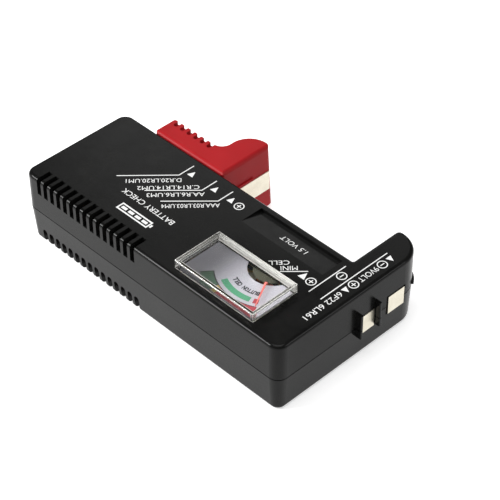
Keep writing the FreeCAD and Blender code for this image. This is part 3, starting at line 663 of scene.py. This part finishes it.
def hub_shield():
    """Olive shield in the dial's cut-out, over the middle of the movement, clear of the needle's rise."""
    shield_r, reach_deg, thickness, below_dial = 5.8, 57, 0.3, 0.75
    olive = moulded("hub_olive", (0.052, 0.052, 0.034), (0.074, 0.073, 0.047), (0.35, 0.5)).material
    arc = [polar(angle, shield_r) for angle in range(-reach_deg, reach_deg + 1, 3)]
    plate = filled([arc], thickness)
    plate.transform(Matrix.Translation((0, 0, DIAL_HIGH.z - below_dial)))
    piece("hub_shield", [plate], olive, "case")


# ---------------------------------------------------------------- the cover's bright edges, which are painted light

# The raised window: its outline and top, its corners' radius and its walls' thickness.
WINDOW_X = (WINDOW_LOW[0], WINDOW_HIGH[0])
WINDOW_Y = (WINDOW_LOW[1], WINDOW_HIGH[1])
WINDOW_TOP = WINDOW_HIGH[2]
WINDOW_R = 0.45
WALL_T = 1.2

# The sheets of painted light in its walls: their depth below the surface, thickness, distance from a corner,
# lower and upper edges, and the inner face of the far one.
SKIN = 0.25
CORE_T = 0.8
CORNER_GAP = 0.8
CORE_Z = (TOP_Z + 0.15, WINDOW_TOP - 0.35)
FAR_CORE_Y = WINDOW_Y[1] - SKIN - CORE_T


def rounded_path(x, y, r):
    """Points round a rectangle with rounded corners, each with its outward direction."""
    steps = 6
    points = []
    corners = [(x[1] - r, y[0] + r, -90), (x[1] - r, y[1] - r, 0),
               (x[0] + r, y[1] - r, 90), (x[0] + r, y[0] + r, 180)]
    for cx, cy, start in corners:
        for i in range(steps + 1):
            a = math.radians(start + 90 * i / steps)
            points.append((cx + r * math.cos(a), cy + r * math.sin(a), math.cos(a), math.sin(a)))
    return points


def bead(inset, z, r):
    """Round bead of painted highlight that follows the window's outline, moved inwards by inset."""
    sides, least_corner_r = 10, 0.22
    corner_r = max(WINDOW_R - inset, least_corner_r)
    path = rounded_path(grow(WINDOW_X, -inset), grow(WINDOW_Y, -inset), corner_r)
    verts, faces = [], []
    for px, py, nx, ny in path:
        for k in range(sides):
            a = 2 * math.pi * k / sides
            verts.append((px + nx * r * math.cos(a), py + ny * r * math.cos(a), z + r * math.sin(a)))
    for i in range(len(path)):
        j = (i + 1) % len(path)
        for k in range(sides):
            n = (k + 1) % sides
            faces.append((i * sides + k, j * sides + k, j * sides + n, i * sides + n))
    mesh = bpy.data.meshes.new("bead")
    mesh.from_pydata(verts, [], faces)
    for face in mesh.polygons:
        face.use_smooth = True
    return mesh


def core_sheet(x, y, z, r=0.12):
    """Block of painted light inside the acrylic, with its long edges and corners rounded by about r."""
    edge = ((1, 0), (0.3, 0.3), (0, 1))
    rings = [(inset * r, z[0] + rise * r) for inset, rise in edge]
    rings += [(inset * r, z[1] - rise * r) for inset, rise in reversed(edge)]
    verts, faces = [], []
    for inset, level in rings:
        path = rounded_path(grow(x, -inset), grow(y, -inset), 1.2 * r)
        verts += [(*point[:2], level) for point in path]
    count = len(verts) // len(rings)
    for low in range(0, len(verts) - count, count):
        for i in range(count):
            j = (i + 1) % count
            faces.append((low + i, low + j, low + count + j, low + count + i))
    faces.append(tuple(reversed(range(count))))
    faces.append(tuple(range(len(verts) - count, len(verts))))
    mesh = bpy.data.meshes.new("sheet")
    mesh.from_pydata(verts, [], faces)
    return mesh


def lit_acrylic(name, alpha_far, alpha_near):
    """Painted light and reflection caught by moulded acrylic: pale streaks, stronger towards the near corner
    by the arm.
    """
    paint = Paint(name, roughness=0.3)
    streaks = paint.noise(0.5, 3, stretch=(0.06, 1, 1), rough=0.6)
    paint.colour(streaks, (0.60, 0.60, 0.58), (0.94, 0.93, 0.90), 0.36, 0.6)
    paint.gloss(paint.noise(1.0), 0.22, 0.36)
    # Painted light, stronger towards the near corner by the arm.
    strength = paint.spread(paint.along((1, -1, 0)), alpha_far, alpha_near, 12.0, 34.0)
    paint.links.new(strength, paint.bsdf.inputs["Alpha"])
    return paint.material


def cover_lines(line):
    """Painted highlights: thin bright lines along the window's outer, inner and foot edges."""
    outer_in, foot_in, foot_rise = 0.18, 0.12, 0.1
    inner_in, inner_drop = WALL_T + 0.13, 1.13
    piece("cover_outer_edge_highlight", [bead(outer_in, WINDOW_TOP - outer_in, 0.13)], line, "case")
    piece("cover_inner_edge_highlight", [bead(inner_in, WINDOW_TOP - inner_drop, 0.1)], line, "case")
    piece("cover_foot_edge_highlight", [bead(foot_in, TOP_Z + foot_rise, 0.07)], line, "case")


def cover_far_side(strong, line):
    """Sheet of painted light inside the window's far wall, and a thin painted highlight under the window
    beside that wall.
    """
    wall = core_sheet(grow(WINDOW_X, -CORNER_GAP), (FAR_CORE_Y, WINDOW_Y[1] - SKIN), CORE_Z)
    step_x = (WINDOW_X[0] + WALL_T + 0.5, WINDOW_X[1] - WALL_T - 0.3)
    step_y = (WINDOW_Y[1] - WALL_T - 0.75, WINDOW_Y[1] - WALL_T - 0.55)
    step_z = (WINDOW_TOP - 1.55, WINDOW_TOP - 1.35)
    piece("cover_far_wall_painted_light", [wall], strong, "case")
    piece("cover_far_step_highlight", [core_sheet(step_x, step_y, step_z, 0.06)], line, "case")


def cover_ends(faint):
    """Sheets of painted light inside the window's two end walls."""
    left_x = (WINDOW_X[0] + SKIN, WINDOW_X[0] + SKIN + CORE_T)
    right_x = (WINDOW_X[1] - SKIN - CORE_T, WINDOW_X[1] - SKIN)
    y = (WINDOW_Y[0] + CORNER_GAP, FAR_CORE_Y - SKIN)
    walls = [core_sheet(x, y, CORE_Z) for x in (left_x, right_x)]
    piece("cover_end_walls_painted_light", walls, faint, "case")


# ---------------------------------------------------------------- camera, light, floor

# The point looked at, angles in degrees, and the lens and sensor in millimetres.
TARGET = (Vector((8.837, 2.857, 12.0)) + TO_FRAME) * MM
CAMERA_AZIMUTH = 45.977
CAMERA_ELEVATION = 41.64
CAMERA_ROLL = -0.432
CAMERA_DISTANCE = 523.457 * MM
CAMERA_LENS = 128.715
SENSOR = 36.0


def towards(azimuth_deg, elevation_deg):
    """Unit vector from the object to a viewer at these angles; azimuth 0 looks along +Y."""
    a, e = math.radians(azimuth_deg), math.radians(elevation_deg)
    return Vector((math.sin(a) * math.cos(e), -math.cos(a) * math.cos(e), math.sin(e)))


def camera():
    """Camera that looks down on the vented side and on the end with the 9 V contacts."""
    back = towards(CAMERA_AZIMUTH, CAMERA_ELEVATION)
    right = (-back).cross(Vector((0, 0, 1))).normalized()
    up = right.cross(-back)
    roll = math.radians(CAMERA_ROLL)
    rolled_right = right * math.cos(roll) + up * math.sin(roll)
    rolled_up = up * math.cos(roll) - right * math.sin(roll)
    data = bpy.data.cameras.new("camera")
    data.lens = CAMERA_LENS
    data.sensor_width = SENSOR
    data.clip_start = 0.02
    data.clip_end = 20.0
    eye = bpy.data.objects.new("camera", data)
    turn = Matrix((rolled_right, rolled_up, back)).transposed().to_4x4()
    eye.matrix_world = Matrix.Translation(TARGET + back * CAMERA_DISTANCE) @ turn
    bpy.context.scene.collection.objects.link(eye)
    bpy.context.scene.camera = eye


def softbox(name, azimuth_deg, elevation_deg, distance, size, power):
    """White rectangular light that faces the object, in metres and watts."""
    data = bpy.data.lights.new(name, "AREA")
    data.shape = "RECTANGLE"
    data.size, data.size_y = size
    data.energy = power
    lamp = bpy.data.objects.new(name, data)
    direction = towards(azimuth_deg, elevation_deg)
    lamp.location = TARGET + direction * distance
    lamp.rotation_mode = "QUATERNION"
    lamp.rotation_quaternion = direction.to_track_quat("Z", "Y")
    bpy.context.scene.collection.objects.link(lamp)


def studio():
    """Soft light from above and from the left, and a dim room that the camera sees as white."""
    softbox("overhead", 40, 84, 0.9, (0.7, 0.7), 4.6)
    softbox("left", -40, 30, 0.8, (0.32, 0.28), 7.0)
    softbox("right", 120, 25, 0.9, (0.3, 0.3), 1.3)
    softbox("back", -136, 34, 0.9, (0.36, 0.26), 0.42)
    world = bpy.data.worlds.new("room")
    world.use_nodes = True
    nodes, links = world.node_tree.nodes, world.node_tree.links
    room = nodes["Background"]
    room.inputs["Color"].default_value = (1, 1, 1, 1)
    room.inputs["Strength"].default_value = 0.13
    seen = nodes.new("ShaderNodeBackground")
    seen.inputs["Strength"].default_value = 1.0
    seen.inputs["Color"].default_value = (1, 1, 1, 1)
    path = nodes.new("ShaderNodeLightPath")
    mix = nodes.new("ShaderNodeMixShader")
    links.new(path.outputs["Is Camera Ray"], mix.inputs[0])
    links.new(room.outputs[0], mix.inputs[1])
    links.new(seen.outputs[0], mix.inputs[2])
    links.new(mix.outputs[0], nodes["World Output"].inputs["Surface"])
    bpy.context.scene.world = world
    bpy.context.scene.view_settings.view_transform = "Standard"


def floor():
    """Plain white table, bright enough to leave only a trace of shadow."""
    paint = Paint("table", roughness=0.8)
    paint.set(Base_Color=(0.86, 0.86, 0.86, 1), Emission_Color=(1, 1, 1, 1), Emission_Strength=0.55)
    paint.set(Specular_IOR_Level=0.1)
    reach, below_base = (-3.0, 3.0), 0.0001
    data = bpy.data.meshes.new("table")
    data.from_pydata([(x, y, 0) for x, y in rectangle(reach, reach)], [], [(0, 1, 2, 3)])
    data.materials.append(paint.material)
    table = bpy.data.objects.new("table", data)
    table.location.z = -below_base
    bpy.context.scene.collection.objects.link(table)


dress_frame()
white_ink = paper_print("white_ink", (0.78, 0.79, 0.78), (0.90, 0.90, 0.89)).material
for print_on_case in (jaw_scale, title, battery_drawing, recess_label, mini_cell_label, end_labels):
    print_on_case(white_ink)
dial_face()
hub_shield()
edge_light = lit_acrylic("cover_edge_light", 0.15, 0.85)
cover_lines(edge_light)
cover_far_side(lit_acrylic("cover_wall_painted_light_strong", 0.2, 0.75), edge_light)
cover_ends(lit_acrylic("cover_wall_painted_light_faint", 0.04, 0.1))
camera()
studio()
floor()
